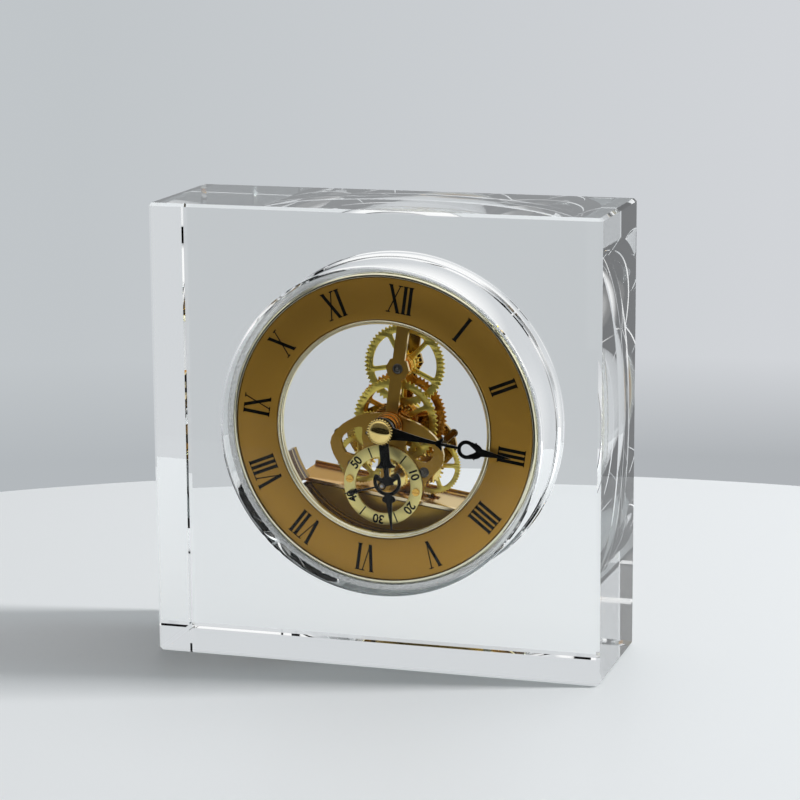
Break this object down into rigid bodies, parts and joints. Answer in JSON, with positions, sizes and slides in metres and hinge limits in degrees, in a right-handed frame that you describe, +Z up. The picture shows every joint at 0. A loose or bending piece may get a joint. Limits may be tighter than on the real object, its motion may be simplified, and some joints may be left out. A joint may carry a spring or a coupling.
{
  "type": "crystal desk clock",
  "caption": "Square clear crystal block with a round pocket that holds a skeleton clock insert: gold dial ring, black hands, seconds dial, going train and battery drive",
  "frame": {"origin": "middle of the block's underside, on the table", "axes": "+Z up, the dial faces -Y, +X to the right as seen from the front"},
  "size_m": [0.15, 0.05, 0.15],
  "materials": {
    "crystal": "polished optical crystal",
    "clear_seal": "clear moulded",
    "satin_gold": "satin gilt",
    "polished_gold": "polished pale gilt",
    "wheel_brass": "satin brass",
    "copper_gilt": "polished rose gilt",
    "steel": "turned steel",
    "dark_steel": "dark steel",
    "black_paint": "matt black",
    "black_plastic": "fine matt",
    "board": "green lacquer"
  },
  "bodies": {
    "case": {"crystal_block": "crystal", "pocket_gasket": "clear_seal", "outer_bezel": "polished_gold", "chapter_ring": "satin_gold", "inner_bezel": "polished_gold", "front_plate": "satin_gold", "rear_plate": "satin_gold", "top_spacer": "wheel_brass", "top_pillar": "wheel_brass", "left_pillar": "copper_gilt", "right_pillar": "copper_gilt", "centre_bush": "copper_gilt", "top_pivot_cap": "dark_steel", "right_pivot_cap": "dark_steel", "left_pivot_cap": "dark_steel", "seconds_ring": "wheel_brass", "seconds_screw_left": "polished_gold", "seconds_screw_right": "polished_gold", "movement_housing": "satin_gold", "shelf_plate": "copper_gilt", "rear_cover": "black_plastic", "rear_screw_left": "steel", "rear_screw_right": "steel", "circuit_board": "board", "drive_coil": "copper_gilt", "coil_core": "steel", "quartz_can": "steel", "button_cell": "steel", "minus_contact": "wheel_brass", "plus_contact": "wheel_brass", "drive_unit": "black_plastic", "motion_stud": "steel"},
    "minute": {"centre_arbor": "steel", "minute_hand": "black_paint", "hand_nut": "polished_gold", "cannon_pinion": "wheel_brass", "great_wheel": "copper_gilt", "setting_knob": "wheel_brass"},
    "hour": {"hour_wheel": "copper_gilt", "hour_hand": "black_paint"},
    "motion": {"motion_wheel": "wheel_brass"},
    "middle": {"middle_wheel": "wheel_brass", "middle_pinion": "wheel_brass"},
    "top": {"top_arbor": "steel", "top_wheel": "wheel_brass", "top_pinion": "wheel_brass"},
    "right": {"right_arbor": "steel", "right_wheel": "wheel_brass", "right_pinion": "wheel_brass"},
    "left": {"left_arbor": "steel", "left_wheel": "wheel_brass", "left_pinion": "wheel_brass"},
    "seconds": {"seconds_arbor": "steel", "seconds_pinion": "wheel_brass", "seconds_hand": "black_paint"},
    "drive": {"drive_arbor": "steel", "drive_wheel": "copper_gilt"},
    "battery_door": {"battery_cover": "black_plastic"}
  },
  "joints": [
    {"name": "minute_turn", "type": "hinge", "parent": "case", "child": "minute", "pos_m": [0, 0, 0.0768], "axis": [0, 1, 0], "continuous": true},
    {"name": "hour_turn", "type": "hinge", "parent": "case", "child": "hour", "pos_m": [0, 0, 0.0768], "axis": [0, 1, 0], "continuous": true},
    {"name": "motion_turn", "type": "hinge", "parent": "case", "child": "motion", "pos_m": [-0.00773, 0, 0.07385], "axis": [0, 1, 0], "continuous": true},
    {"name": "middle_turn", "type": "hinge", "parent": "case", "child": "middle", "pos_m": [0, 0, 0.0768], "axis": [0, 1, 0], "continuous": true},
    {"name": "top_turn", "type": "hinge", "parent": "case", "child": "top", "pos_m": [0.00272, 0, 0.09591], "axis": [0, 1, 0], "continuous": true},
    {"name": "right_turn", "type": "hinge", "parent": "case", "child": "right", "pos_m": [0.01159, 0, 0.06137], "axis": [0, 1, 0], "continuous": true},
    {"name": "left_turn", "type": "hinge", "parent": "case", "child": "left", "pos_m": [-0.01319, 0, 0.06271], "axis": [0, 1, 0], "continuous": true},
    {"name": "seconds_turn", "type": "hinge", "parent": "case", "child": "seconds", "pos_m": [-0.00228, 0, 0.05652], "axis": [0, 1, 0], "continuous": true},
    {"name": "drive_turn", "type": "hinge", "parent": "case", "child": "drive", "pos_m": [0.00606, 0, 0.04871], "axis": [0, 1, 0], "continuous": true},
    {"name": "battery_cover_pull", "type": "slide", "parent": "case", "child": "battery_door", "axis": [0, 1, 0], "range_m": [0, 0.008]}
  ],
  "couplings": [
    {"joint": "minute_turn", "follows": "middle_turn", "ratio": 0.1},
    {"joint": "hour_turn", "follows": "middle_turn", "ratio": 0.0083333},
    {"joint": "motion_turn", "follows": "middle_turn", "ratio": -0.033333},
    {"joint": "top_turn", "follows": "middle_turn", "ratio": -0.4},
    {"joint": "right_turn", "follows": "middle_turn", "ratio": -3},
    {"joint": "left_turn", "follows": "middle_turn", "ratio": -0.4},
    {"joint": "seconds_turn", "follows": "middle_turn", "ratio": 6},
    {"joint": "drive_turn", "follows": "middle_turn", "ratio": -4.5}
  ]
}
